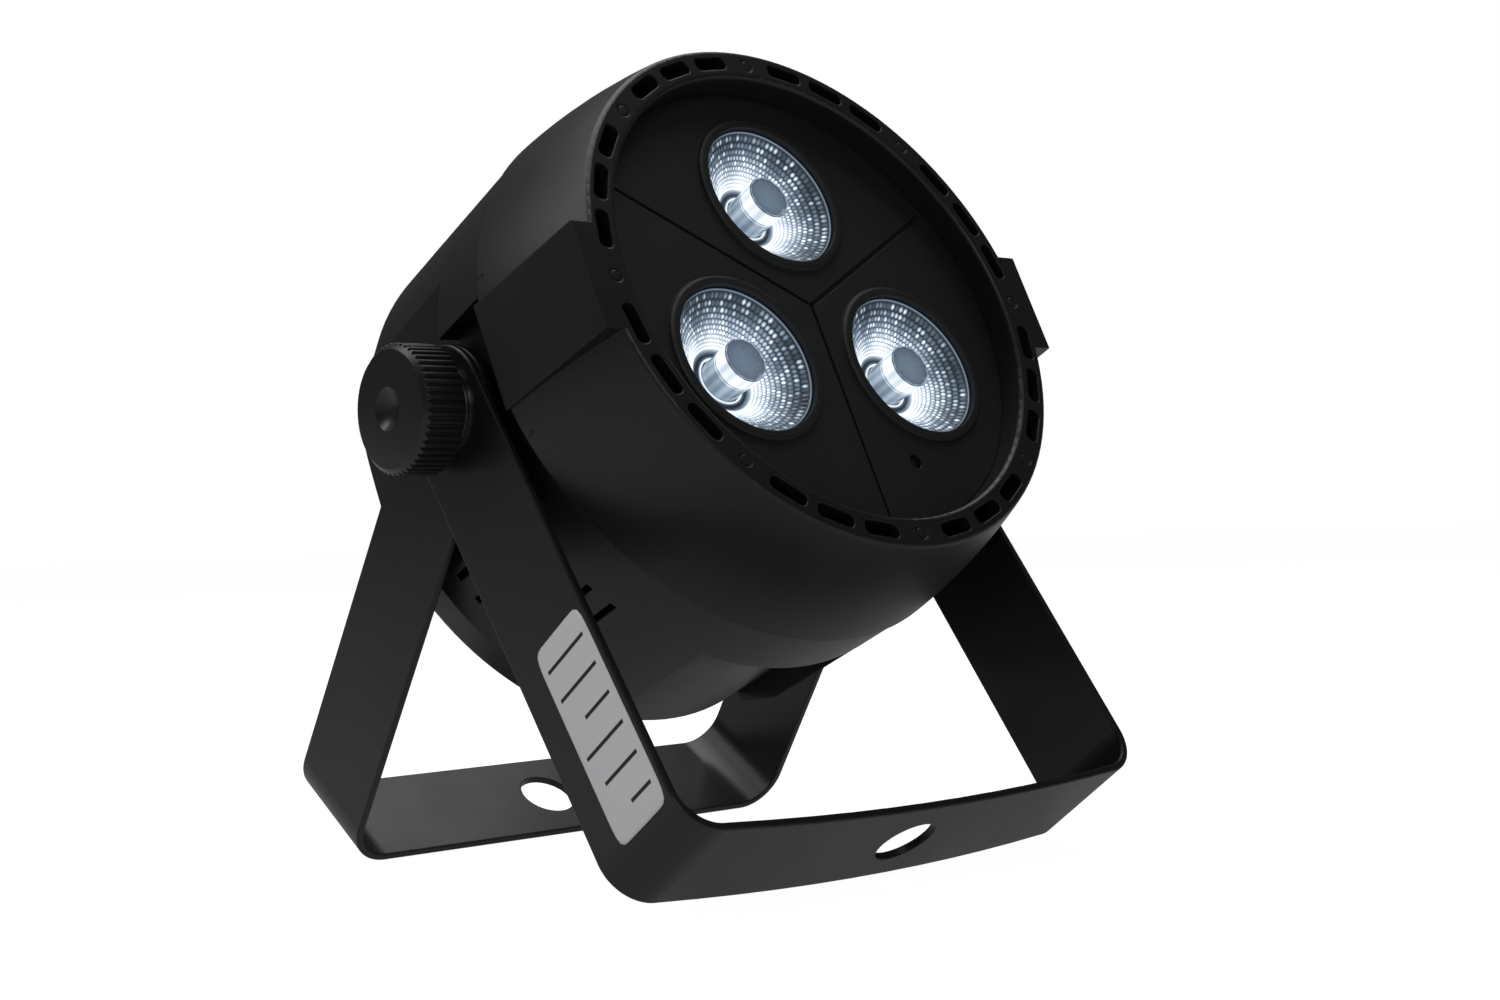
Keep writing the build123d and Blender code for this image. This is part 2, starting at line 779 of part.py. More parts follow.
# lead that feeds the LED board, from the power board round the edge of the heat sink
lead_radius = 1.3
plug_x = 9.5
plug_u = -39.0
plug_depth = 5.0
plug_face_u = plug_u - plug_depth / 2
lead_n = board_n + board_thickness + 2.1
lead_points = [
    head.from_local_coords(place)
    for place in (
        (8.0, -19.0, power_board_n + board_thickness),
        (8.0, -19.0, -1.0),
        (8.4, -38.0, 3.0),
        (8.8, -47.0, 11.0),
        (9.2, -47.4, 20.0),
        (plug_x, -48.4, lead_n),
        (plug_x, plug_face_u, lead_n),
    )
]


def corner_radii(points):
    # each bend as large as its two runs allow
    radii = []
    for before, here, after in zip(points, points[1:], points[2:]):
        shorter = min((here - before).length, (after - here).length)
        turn = radians((here - before).get_angle(after - here))
        radii.append(0.45 * shorter / tan(0.5 * turn))
    return radii


lead_bends = corner_radii(lead_points)
print("bend radii of the lead:", [round(bend, 1) for bend in lead_bends])
with BuildPart() as led_lead:
    with BuildLine() as lead_path:
        FilletPolyline(*lead_points, radius=lead_bends)
    with BuildSketch(Plane(origin=lead_path.line @ 0, z_dir=lead_path.line % 0)):
        Circle(lead_radius)
    sweep()
save(led_lead.part, "led_lead")

with BuildPart() as led_plug:
    with BuildSketch(head_at(plug_x, plug_u, board_n + board_thickness)):
        Rectangle(8.0, plug_depth)
    extrude(amount=4.2)
save(led_plug.part, "led_plug")

# ================= pivot hardware, the same on both sides =================
washer_low_x = pivot_boss_x
washer_high_x = inner_face_x - steel - 0.1
knob_washer_low_x = outer_face_x + 0.1
knob_washer_high_x = knob_washer_low_x + 1.0
knob_low_x = 62.4
knob_high_x = 71.6
knob_radius = 12.0
rib_radius = 0.5
rib_count = 50
collar_radius = 9.5
dimple_radius = 4.2
dimple_depth = 1.5
dome = 0.5


def ring(plane, outer, inner, low, high):
    with BuildPart() as body:
        with BuildSketch(plane.offset(low)):
            Circle(outer)
            Circle(inner, mode=Mode.SUBTRACT)
        extrude(amount=high - low)
    return body.part


for side, name in ((-1, "left"), (1, "right")):
    outward = Plane(origin=head.origin, x_dir=(0, 1, 0), z_dir=(side, 0, 0))
    insert = ring(outward, insert_radius, stud_radius + 0.05, insert_inner_x, insert_outer_x)
    save(insert, f"pivot_insert_{name}")
    save(ring(outward, 8.0, stud_radius + 0.3, washer_low_x, washer_high_x), f"friction_washer_{name}")
    save(ring(outward, 8.6, stud_radius + 0.2, knob_washer_low_x, knob_washer_high_x), f"knob_washer_{name}")
    save(disc(outward, stud_radius, insert_inner_x + 1.0, knob_low_x + 5.0), f"knob_stud_{name}")
    dimple_ball = (dimple_radius**2 + dimple_depth**2) / (2 * dimple_depth)
    with BuildPart() as knob:
        with BuildSketch(outward.offset(knob_low_x)):
            Circle(knob_radius)
            with PolarLocations(knob_radius, rib_count):
                Circle(rib_radius)
        extrude(amount=knob_high_x + dome - knob_low_x)
        # the outline of the knob trims the rib ends and domes the face
        with BuildSketch(section_of(outward)):
            with BuildLine():
                Polyline(
                    (0, knob_low_x),
                    (knob_radius - 0.4, knob_low_x),
                    (knob_radius + rib_radius, knob_low_x + 0.7),
                    (knob_radius + rib_radius, knob_high_x - 1.1),
                    (knob_radius - 0.7, knob_high_x),
                )
                ThreePointArc(
                    (knob_radius - 0.7, knob_high_x),
                    (knob_radius / 2, knob_high_x + 0.75 * dome),
                    (0, knob_high_x + dome),
                )
                Line((0, knob_high_x + dome), (0, knob_low_x))
            make_face()
        revolve(axis=axis_of(outward), mode=Mode.INTERSECT)
        with BuildSketch(outward.offset(knob_washer_high_x + 0.1)):
            Circle(collar_radius)
        extrude(amount=knob_low_x - knob_washer_high_x - 0.1)
        with BuildSketch(outward.offset(knob_washer_high_x + 0.1)):
            Circle(stud_radius)
        extrude(amount=knob_low_x + 5.0 - knob_washer_high_x - 0.1, mode=Mode.SUBTRACT)
        ball_place = outward.offset(knob_high_x + dome - dimple_depth + dimple_ball)
        with Locations(ball_place):
            Sphere(dimple_ball, mode=Mode.SUBTRACT)
    save(knob.part, f"knob_{name}")

# ================= the two steel U-brackets =================


def bracket_plane(splay):
    # origin at the pivot, x across, y up the legs, z towards the front edge
    lean = radians(splay)
    return Plane(origin=head.origin, x_dir=(1, 0, 0), z_dir=(0, -cos(lean), sin(lean)))


def u_bracket(splay, face, reach, bow):
    plane = bracket_plane(splay)
    foot = reach - bow
    shifts = ((0, Mode.ADD), (steel, Mode.SUBTRACT))
    with BuildPart() as bracket:
        with BuildSketch(plane):
            for inset, mode in shifts:
                x = face - inset
                bend = bend_radius - inset
                soft = bend * (1 - cos(radians(45)))
                base = foot - inset
                with BuildLine():
                    Line((x, 0), (x, bend - base))
                    ThreePointArc((x, bend - base), (x - soft, soft - base), (x - bend, -base))
                    if bow:
                        ThreePointArc((x - bend, -base), (0, -base - bow), (bend - x, -base))
                    else:
                        Line((x - bend, -base), (bend - x, -base))
                    ThreePointArc((bend - x, -base), (soft - x, soft - base), (-x, bend - base))
                    Polyline((-x, bend - base), (-x, 0), (x, 0))
                make_face(mode=mode)
        extrude(amount=half_width, both=True)
        for low_x in (-face, face - steel):
            with BuildSketch(pivot_line.offset(low_x)):
                Circle(half_width)
            extrude(amount=steel)
        fillet(edges(), radius=edge_round)
        for low_x in (-face, face - steel):
            with BuildSketch(pivot_line.offset(low_x)):
                Circle(pivot_hole_radius)
            extrude(amount=steel, mode=Mode.SUBTRACT)
        strip_out = Plane(
            origin=plane.from_local_coords((0, -reach - 1, 0)), x_dir=(1, 0, 0), z_dir=plane.y_dir
        )
        with BuildSketch(strip_out):
            Circle(fixing_hole_radius)
        extrude(amount=steel + 2, mode=Mode.SUBTRACT)
    return bracket.part


save(u_bracket(outer_splay, outer_face_x, outer_reach, strip_bow), "outer_bracket")
save(u_bracket(-inner_splay, inner_face_x, inner_reach, 0), "inner_bracket")

# ================= safety eye at the top of the rear housing =================
with BuildPart() as safety_eye:
    eye_centre = head.from_local_coords((0, eye_u, eye_centre_n))
    eye_plane = Plane(origin=eye_centre, x_dir=head.y_dir, z_dir=(1, 0, 0))
    with BuildSketch(section_of(eye_plane)):
        with Locations((eye_radius, 0)):
            Circle(eye_wire)
    revolve(axis=axis_of(eye_plane))
    with BuildSketch(head_at(0, eye_u, eye_centre_n + eye_radius)):
        Circle(eye_wire)
    extrude(amount=back_n + eye_stem - eye_centre_n - eye_radius)
save(safety_eye.part, "safety_eye")
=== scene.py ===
import bpy
import bmesh
import json
import math
import numpy as np
from mathutils import Matrix, Vector


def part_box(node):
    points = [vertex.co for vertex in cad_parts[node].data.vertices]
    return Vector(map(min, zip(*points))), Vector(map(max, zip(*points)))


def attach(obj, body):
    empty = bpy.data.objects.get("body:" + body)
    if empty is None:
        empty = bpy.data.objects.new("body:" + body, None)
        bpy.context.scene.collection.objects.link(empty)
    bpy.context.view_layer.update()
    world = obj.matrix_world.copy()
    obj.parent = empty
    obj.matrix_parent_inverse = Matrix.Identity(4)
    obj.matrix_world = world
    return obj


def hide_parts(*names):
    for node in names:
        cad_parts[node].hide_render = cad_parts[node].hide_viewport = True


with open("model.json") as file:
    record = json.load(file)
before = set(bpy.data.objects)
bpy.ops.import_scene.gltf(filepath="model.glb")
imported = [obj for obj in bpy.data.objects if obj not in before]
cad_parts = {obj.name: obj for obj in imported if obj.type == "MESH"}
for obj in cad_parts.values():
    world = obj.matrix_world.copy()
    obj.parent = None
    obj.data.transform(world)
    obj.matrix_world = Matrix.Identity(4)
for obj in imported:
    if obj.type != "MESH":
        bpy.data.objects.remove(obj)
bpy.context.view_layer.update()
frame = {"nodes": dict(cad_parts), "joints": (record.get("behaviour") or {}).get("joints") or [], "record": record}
print("frame loaded:", len(frame["nodes"]), "parts")

# directions and places come from the frame: the pivot line, the beam and the outer strip
mm = 0.001
mounts = {mount["name"]: mount for mount in frame["record"]["mounts"]}
joints = {joint["name"]: joint for joint in frame["joints"]}
pivot = np.array(joints["head_tilt"]["pos_m"])
across = np.array([1.0, 0.0, 0.0])
beam = -np.array(mounts["power_socket"]["axis"])
faceUp = np.cross(beam, across)


def headPlace(x, up, out):
    # places in the head in millimetres: x along the pivot line, up the lens face, out along the beam
    x, up, out = np.broadcast_arrays(x, up, out)
    return pivot + mm * (x[..., None] * across + up[..., None] * faceUp + out[..., None] * beam)


def gridPiece(name, places, body, values=None, closed=True, smooth=True):
    # places is rows x columns x 3. Each cell of the grid is one face; closed joins the last
    # column to the first. values holds one number per place, kept as the attribute of that name.
    rows, columns = places.shape[:2]
    index = np.arange(rows * columns).reshape(rows, columns)
    right = np.roll(index, -1, axis=1) if closed else index[:, 1:]
    left = index if closed else index[:, :-1]
    faces = np.stack([left[:-1], right[:-1], right[1:], left[1:]], axis=-1).reshape(-1, 4)
    mesh = bpy.data.meshes.new(name)
    mesh.vertices.add(rows * columns)
    mesh.vertices.foreach_set("co", places.reshape(-1).astype(np.float32))
    mesh.loops.add(faces.size)
    mesh.loops.foreach_set("vertex_index", faces.reshape(-1).astype(np.int32))
    mesh.polygons.add(len(faces))
    mesh.polygons.foreach_set("loop_start", np.arange(0, faces.size, 4, dtype=np.int32))
    mesh.update(calc_edges=True)
    for key, numbers in (values or {}).items():
        attribute = mesh.attributes.new(key, "FLOAT", "POINT")
        perPlace = np.broadcast_to(numbers, (rows, columns)).reshape(-1)
        attribute.data.foreach_set("value", perPlace.astype(np.float32))
    return finishPiece(name, mesh, body, smooth)


def finishPiece(name, mesh, body, smooth=True):
    # poles and seams are welded, normals turned outwards, and the piece rides on its body
    shape = bmesh.new()
    shape.from_mesh(mesh)
    bmesh.ops.remove_doubles(shape, verts=shape.verts, dist=1e-7)
    bmesh.ops.dissolve_degenerate(shape, edges=shape.edges, dist=1e-8)
    bmesh.ops.recalc_face_normals(shape, faces=shape.faces)
    for face in shape.faces:
        face.smooth = smooth
    shape.to_mesh(mesh)
    shape.free()
    piece = bpy.data.objects.new(name, mesh)
    bpy.context.scene.collection.objects.link(piece)
    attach(piece, body)
    return piece


def linear(hexColour):
    # sRGB hex to the linear numbers that the shaders take
    parts = [int(hexColour.lstrip("#")[i:i + 2], 16) / 255 for i in (0, 2, 4)]
    return (*[p / 12.92 if p <= 0.04045 else ((p + 0.055) / 1.055) ** 2.4 for p in parts], 1.0)


def addNode(tree, kind, settings=None, links=None):
    # adds one node: settings are its own options or its sockets' values, links are what feeds it
    node = tree.nodes.new(kind)
    for key, value in (settings or {}).items():
        if isinstance(key, str) and hasattr(node, key):
            setattr(node, key, value)
        else:
            node.inputs[key].default_value = value
    for key, source in (links or {}).items():
        tree.links.new(source, node.inputs[key])
    return node


def startMaterial(name, shaderSettings):
    # a shader wired to the output, and the place on the piece in metres for its patterns
    material = bpy.data.materials.new(name)
    material.use_nodes = True
    tree = material.node_tree
    tree.nodes.clear()
    shader = addNode(tree, "ShaderNodeBsdfPrincipled", shaderSettings)
    addNode(tree, "ShaderNodeOutputMaterial", links={"Surface": shader.outputs["BSDF"]})
    place = addNode(tree, "ShaderNodeTexCoord").outputs["Object"]
    return material, tree, shader, place


def grainMaterial(look):
    # a fine grain for the moulded, coated or plated surface, and a slow drift of its gloss and colour
    material, tree, shader, place = startMaterial(look["name"], {
        "Metallic": look.get("metallic", 0.0), "IOR": look.get("ior", 1.5)})
    grain = addNode(tree, "ShaderNodeTexNoise", {
        "Scale": 1 / (look["grain"] * mm), "Detail": 3.0, "Roughness": 0.6}, {"Vector": place})
    drift = addNode(tree, "ShaderNodeTexNoise", {
        "Scale": 1 / (look["drift"] * mm), "Detail": 4.0, "Roughness": 0.55}, {"Vector": place})
    gloss = addNode(tree, "ShaderNodeMapRange", {
        "From Min": 0.3, "From Max": 0.7, "To Min": look["roughness"][0], "To Max": look["roughness"][1],
    }, {"Value": drift.outputs["Fac"]})
    tree.links.new(gloss.outputs["Result"], shader.inputs["Roughness"])
    colour = addNode(tree, "ShaderNodeMix", {
        "data_type": "RGBA", 6: linear(look["colours"][0]), 7: linear(look["colours"][1]),
    }, {0: drift.outputs["Fac"]})
    tree.links.new(colour.outputs[2], shader.inputs["Base Color"])
    # edges: moulded, coated and plated edges are a little round, so the light catches on them
    edge = addNode(tree, "ShaderNodeBevel", {"samples": 4, "Radius": look.get("edge", 0.3) * mm})
    bump = addNode(tree, "ShaderNodeBump", {
        "Strength": look["bump"], "Distance": look["grain"] * 0.25 * mm,
    }, {"Height": grain.outputs["Fac"], "Normal": edge.outputs["Normal"]})
    tree.links.new(bump.outputs["Normal"], shader.inputs["Normal"])
    return material


# grain and drift are the sizes of the pattern in millimetres; the finest grains are drawn coarser
# than life, about 0.4 mm, so that they still show at this scale. edge is the width over which an
# edge looks rounded, 0.3 mm where it isn't given.
finishes = {
    # ABS from a spark-eroded mould: satin black, fine even grain, soft broad highlights
    "casing": dict(
        name="sparkErodedAbs", colours=("#141416", "#18181a"), roughness=(0.36, 0.44), grain=0.42,
        drift=35, bump=0.22, edge=0.45),
    # ABS, coarser mould texture: darker and flatter than the casing
    "panel": dict(
        name="texturedAbs", colours=("#101213", "#141617"), roughness=(0.50, 0.60), grain=0.55,
        drift=22, bump=0.35),
    # ABS knob, polished mould with a light grain: sharper glints on the ribs
    "knob": dict(
        name="polishedAbs", colours=("#1b1b1d", "#202022"), roughness=(0.30, 0.38), grain=0.40,
        drift=9, bump=0.12),
    # polycarbonate lens holders, as moulded: flat and near black
    "holder": dict(
        name="mouldedPolycarbonate", colours=("#0e0e0f", "#131314"), roughness=(0.50, 0.60),
        grain=0.6, drift=15, bump=0.3),
    # powder coat on flat steel: satin black with a fine orange peel
    "bracket": dict(
        name="powderCoatedSteel", colours=("#131313", "#181818"), roughness=(0.30, 0.38), grain=0.9,
        drift=28, bump=0.10, edge=0.6),
    # zinc plated steel: bright cool grey, slightly blotched
    "zinc_steel": dict(
        name="zincPlatedSteel", colours=("#b9bcc0", "#d3d6da"), metallic=1.0,
        roughness=(0.22, 0.36), grain=0.5, drift=3, bump=0.10),
    # turned and stamped brass: warm yellow, a little dulled
    "brass": dict(
        name="turnedBrass", colours=("#b5924a", "#d6b56a"), metallic=1.0, roughness=(0.22, 0.34),
        grain=0.4, drift=3, bump=0.06),
    # die-cast aluminium: pale, evenly matt
    "aluminium": dict(
        name="castAluminium", colours=("#b4b6b8", "#c8cacc"), metallic=1.0, roughness=(0.32, 0.44),
        grain=0.5, drift=8, bump=0.12),
    # nylon sockets: a little glossier than the shell
    "socket": dict(
        name="mouldedNylon", colours=("#121214", "#18181b"), roughness=(0.24, 0.34), ior=1.53,
        grain=0.5, drift=7, bump=0.10),
    # nylon latch: mid grey, to tell it from its socket
    "latch": dict(
        name="greyNylon", colours=("#5c6066", "#6b6f75"), roughness=(0.30, 0.40), ior=1.53,
        grain=0.5, drift=4, bump=0.10),
    # ABS push buttons: dark grey, worn smooth
    "button": dict(
        name="greyAbs", colours=("#2a2b2e", "#323338"), roughness=(0.40, 0.50), grain=0.4, drift=4,
        bump=0.15),
    # epoxy packages and sleeves: matt charcoal
    "component": dict(
        name="mouldedEpoxy", colours=("#161618", "#232326"), roughness=(0.45, 0.60), grain=0.5,
        drift=6, bump=0.2),
    # glass-epoxy board under solder mask: glossy green
    "circuit_board": dict(
        name="maskedGlassEpoxy", colours=("#0f5a2b", "#17703a"), roughness=(0.28, 0.40), grain=1.2,
        drift=9, bump=0.08),
    # aluminium-backed board under white mask
    "led_board": dict(
        name="whiteMaskedAluminium", colours=("#dfe2e2", "#eceeee"), roughness=(0.34, 0.44),
        grain=0.8, drift=10, bump=0.06),
    # silicone over phosphor: pale cream, smooth
    "emitter": dict(
        name="castSilicone", colours=("#e8e8d8", "#f4f2dc"), roughness=(0.18, 0.28), grain=0.4,
        drift=3, bump=0.03),
    # PVC insulation: black, slightly waxy
    "wire": dict(
        name="extrudedPvc", colours=("#17171a", "#202024"), roughness=(0.40, 0.50), grain=0.5,
        drift=6, bump=0.1),
    # rubber: black and flat
    "rubber": dict(
        name="mouldedRubber", colours=("#101010", "#171717"), roughness=(0.68, 0.80), grain=0.5,
        drift=6, bump=0.3),
}
materials = {slotName: grainMaterial(look) for slotName, look in finishes.items()}


def windowMaterial():
    # tinted acrylic over the display: dark red, mirror smooth but for a faint smear
    material, tree, shader, place = startMaterial("tintedAcrylic", {
        "Base Color": linear("#240406"), "IOR": 1.49, "Coat Weight": 1.0, "Coat Roughness": 0.03})
    smear = addNode(tree, "ShaderNodeTexNoise", {
        "Scale": 1 / (4 * mm), "Detail": 3.0}, {"Vector": place})
    gloss = addNode(tree, "ShaderNodeMapRange", {
        "To Min": 0.04, "To Max": 0.14}, {"Value": smear.outputs["Fac"]})
    tree.links.new(gloss.outputs["Result"], shader.inputs["Roughness"])
    return material


def lensMaterial():
    # clear acrylic lit from behind: "glow" on the mesh says how much light leaves each place, from
    # slate blue where little does to a cool white; the surface itself stays glossy
    material, tree, shader, place = startMaterial("litAcrylic", {
        "Roughness": 0.12, "IOR": 1.49, "Emission Strength": 1.0})
    glow = addNode(tree, "ShaderNodeAttribute", {"attribute_name": "glow"}).outputs["Fac"]
    ramp = addNode(tree, "ShaderNodeValToRGB", links={"Fac": glow})
    stops = ((0.0, "#04050a"), (0.18, "#1c2530"), (0.42, "#5f7082"), (0.7, "#bccbd8"),
             (1.0, "#fbfdff"))
    while len(ramp.color_ramp.elements) < len(stops):
        ramp.color_ramp.elements.new(0.5)
    for element, (at, colour) in zip(ramp.color_ramp.elements, stops):
        element.position = at
        element.color = linear(colour)
    tree.links.new(ramp.outputs["Color"], shader.inputs["Emission Color"])
    # the base colour also goes from near black to pale grey as the glow rises: painted light on top of the glow,
    # as the clear acrylic's own colour stays the same
    body = addNode(tree, "ShaderNodeMix", {
        "data_type": "RGBA", 6: linear("#0b0e12"), 7: linear("#8b979f")}, {0: glow})
    tree.links.new(body.outputs[2], shader.inputs["Base Color"])
    return material


materials["window"] = windowMaterial()
# printed vinyl: off-white, slightly glossy, and its dark ink
materials["labelStock"] = grainMaterial(dict(
    name="printedVinyl", colours=("#eeeef1", "#f5f5f7"), roughness=(0.34, 0.42), grain=0.5,
    drift=8, bump=0.05))
materials["labelInk"] = grainMaterial(dict(
    name="vinylInk", colours=("#18181a", "#1e1e20"), roughness=(0.40, 0.50), grain=0.4, drift=6,
    bump=0.05))
materials["lens"] = lensMaterial()

for entry in frame["record"]["subparts"]:
    node = frame["nodes"][entry["node"]]
    node.data.materials.clear()
    node.data.materials.append(materials[entry["material_slot"]])


# lenses: each is a beaded bowl with a clear column in it, in millimetres
lens = dict(
    pitch=25.3,          # from the lamp axis to each lens axis
    angles=dict(top=90, left=210, right=330),
    face=43.6,           # lens face ahead of the pivot line
    radius=15.6,
    lip=0.32,            # width of the plain lip round the beads
    lipDepth=0.6,
    bowlDepth=7.8,
    bowlCurve=0.9,       # power of the depth: 1 would be a straight cone
    throat=6.5,          # where the bowl meets the dark ring round the emitter
    beads=84,            # beads in each ring; the rings shrink towards the throat in step
    samples=8,           # mesh cells along one bead
    beadRise=0.22,       # share of a bead's width
    wallLean=0.7,        # share of a bead's rise that goes inwards and that goes forwards
    postSegments=96,
    seed=5,
)
# the light that leaves each place, from 0 to 1
light = dict(
    wall=0.19, nearThroat=1.0, throatPower=1.7,      # the wall between beads, and its rise inwards
    gap=0.42, gapWidth=1.4,                          # how much darker the gaps between beads are
    bead=0.05, spark=1.15, sparkPower=2.2,           # every bead, and the few brightest
    beadPower=3, beadAtLip=0.6,                      # how narrow its spot is, and its dimming
    drift=0.22,                                      # slow change round the bowl
    post=0.93, streak=0.20, speckle=0.16, streakFrom=4.3,
)


def alike(rows, count):
    # a profile's rows of radius, height and glow, each the same all the way round
    return [np.array(column)[:, None] * np.ones((1, count)) for column in zip(*rows)]


def ramped(values, count):
    # the same values with count steps between each pair
    values = np.asarray(values, float)
    at = np.linspace(0, len(values) - 1, (len(values) - 1) * count + 1)
    return np.interp(at, np.arange(len(values)), values)


def lensPiece(name, station, turn, radii, heights, glow):
    # a turned shape round a lens axis, turn in radians
    aside = station[0] + radii * np.cos(turn)
    up = station[1] + radii * np.sin(turn)
    piece = gridPiece(name, headPlace(aside, up, heights), "head", {"glow": glow})
    piece.data.materials.append(materials["lens"])
    return piece


def buildBowl(place, station, draw):
    face, radius = lens["face"], lens["radius"]
    floor = face - lens["bowlDepth"]
    inner = radius - lens["lip"]
    count = lens["beads"] * lens["samples"]
    turn = np.arange(count) / count
    # bowl: a cone from the lip down to the throat, on rings whose width shrinks with their radius
    ringRatio = math.exp(2 * math.pi / lens["beads"])
    rings = int(math.log(inner / lens["throat"]) / math.log(ringRatio))
    step = np.linspace(0, rings, rings * lens["samples"] + 1)
    wall = inner * ringRatio ** -step
    share = (inner - wall) / (inner - wall[-1])
    depth = lens["lipDepth"] + (lens["bowlDepth"] - lens["lipDepth"]) * share ** lens["bowlCurve"]
    # beads: a round cap in each cell of the ring grid, every other ring moved half a bead
    ring = np.minimum(np.floor(step), rings - 1)
    along = step - ring - 0.5
    column = turn[None, :] * lens["beads"] + 0.5 * (ring[:, None] % 2)
    aside = column - np.floor(column) - 0.5
    cap = np.sqrt(np.clip(1 - 4 * (along[:, None] ** 2 + aside ** 2), 0, 1))
    width = wall[:, None] * 2 * np.pi / lens["beads"]
    rise = lens["beadRise"] * width * cap * lens["wallLean"]
    # light: strong near the throat, faint near the lip, with a spark of its own on each bead, and
    # a slow drift round the bowl
    spark = draw.random((rings, lens["beads"])) ** light["sparkPower"]
    spark = spark[ring.astype(int)[:, None], np.floor(column).astype(int) % lens["beads"]]
    slow = np.sin(turn * 4 * np.pi + draw.random() * 6) * np.sin(turn * 10 * np.pi + 1)[None, :]
    drift = 1 + light["drift"] * slow
    near = share[:, None]
    gap = np.clip(1 - cap * light["gapWidth"], 0, 1)
    between = (light["wall"] + light["nearThroat"] * near ** light["throatPower"])
    atLip = light["beadAtLip"]
    spots = (light["bead"] + light["spark"] * spark) * cap ** light["beadPower"] * (
        atLip + (1 - atLip) * near)
    bowlGlow = drift * (between * (1 - light["gap"] * gap) + spots)
    # the closed body: lip, bowl, throat floor, and back up the outside
    last = wall[-1]
    back = (radius, face - 2.2, 0.05)
    # the glow on the lip, brightest at its inner edge, is a painted highlight round the rim
    top = alike([back, (radius, face - 0.12, 0.1), (radius - 0.1, face, 0.24),
                 (inner + 0.08, face, 0.24), (inner, face - 0.1, 0.5)], count)
    bottom = alike([(last, floor - 0.5, 0.55), (5.7, floor - 0.7, 0.12), (5.2, floor - 0.5, 0.18),
                    (4.9, floor - 0.2, 0.95), (4.7, floor - 0.2, 0.95), (4.7, floor - 1.6, 0.2),
                    (last + 1.0, floor - 1.6, 0.0), (radius - 2, face - 2.6, 0.0), back], count)
    bowl = (wall[:, None] - rise, face - depth[:, None] + rise, bowlGlow)
    radii, heights, glow = (np.vstack(parts) for parts in zip(top, bowl, bottom))
    bowl = lensPiece(f"lens_{place}_bowl", station, turn[None, :] * 2 * np.pi, radii, heights, glow)
    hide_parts(f"lens_{place}")


def buildPost(place, station, draw):
    # the clear column round the emitter: its glow is white near its face and a dimmer blue lower down
    face = lens["face"]
    floor = face - lens["bowlDepth"]
    rows = [(0.0, face - 0.9, 0.44), (2.2, face - 0.75, 0.42), (3.9, face - 0.3, 0.36),
            (4.3, face - 0.12, 0.30), (4.4, face - 0.03, 0.62), (4.58, face - 0.03, 0.5),
            (4.65, face - 0.15, 0.10), (4.65, face - 0.35, 0.95), (4.6, face - 3.2, 0.95),
            (4.55, face - 3.6, 0.40), (4.5, face - 3.8, 0.9), (4.5, face - 4.1, 0.52),
            (4.4, floor + 0.3, 0.50), (4.4, floor - 1.4, 0.3), (0.0, floor - 1.4, 0.0)]
    count = lens["postSegments"]
    turn = np.arange(count) / count * 2 * np.pi
    rows = zip(*(ramped(column, 3) for column in zip(*rows)))
    radii, heights, glow = alike(rows, count)
    # the glow on the column's side rises and falls round it in streaks that run down it, and it speckles faintly
    # on its face
    streak = np.sin(turn * 9 + draw.random() * 6) * np.sin(turn * 4 + 1)
    speckle = draw.random(glow.shape) - 0.5
    glow = glow * (light["post"] + np.where(
        radii < light["streakFrom"], light["speckle"] * speckle, light["streak"] * streak))
    lensPiece(f"lens_{place}_post", station, turn, radii, heights, glow)


draw = np.random.default_rng(lens["seed"])
for place, angle in lens["angles"].items():
    station = lens["pitch"] * np.array([math.cos(math.radians(angle)), math.sin(math.radians(angle))])
    buildBowl(place, station, draw)
    buildPost(place, station, draw)
print("lenses built")


# label: a plain plate with ruled lines on the outer bracket's left leg, in millimetres
label = dict(
    start=53.5, end=94.0,        # along the leg from the pivot line
    low=-11.3, high=4.9,         # across the leg, low towards its front edge
    squareness=12,               # power of the outline: 2 is an ellipse, more is a squarer plate
    segments=128,
    thickness=0.15,
    firstRule=5.0, rulePitch=6.1, ruleWidth=0.7, inkThickness=0.03,
    rules=((-9.6, 3.2), (-9.6, 3.2), (-9.6, -1.0), (-9.6, 3.2), (-9.6, 1.4), (-9.6, -3.0)),
)


def legPlace(along, aside, out):
    # places on the left leg: along it from the pivot, across it towards its rear edge, and out from it
    legDown = np.array(mounts["outer_strip_hole"]["axis"])
    legDown = legDown / np.linalg.norm(legDown)
    legSide = np.cross(across, legDown)
    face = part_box("outer_bracket")[0].x
    along, aside, out = np.broadcast_arrays(along, aside, out)
    return (np.array([face, pivot[1], pivot[2]]) - mm * out[..., None] * across
            + mm * (along[..., None] * legDown + aside[..., None] * legSide))


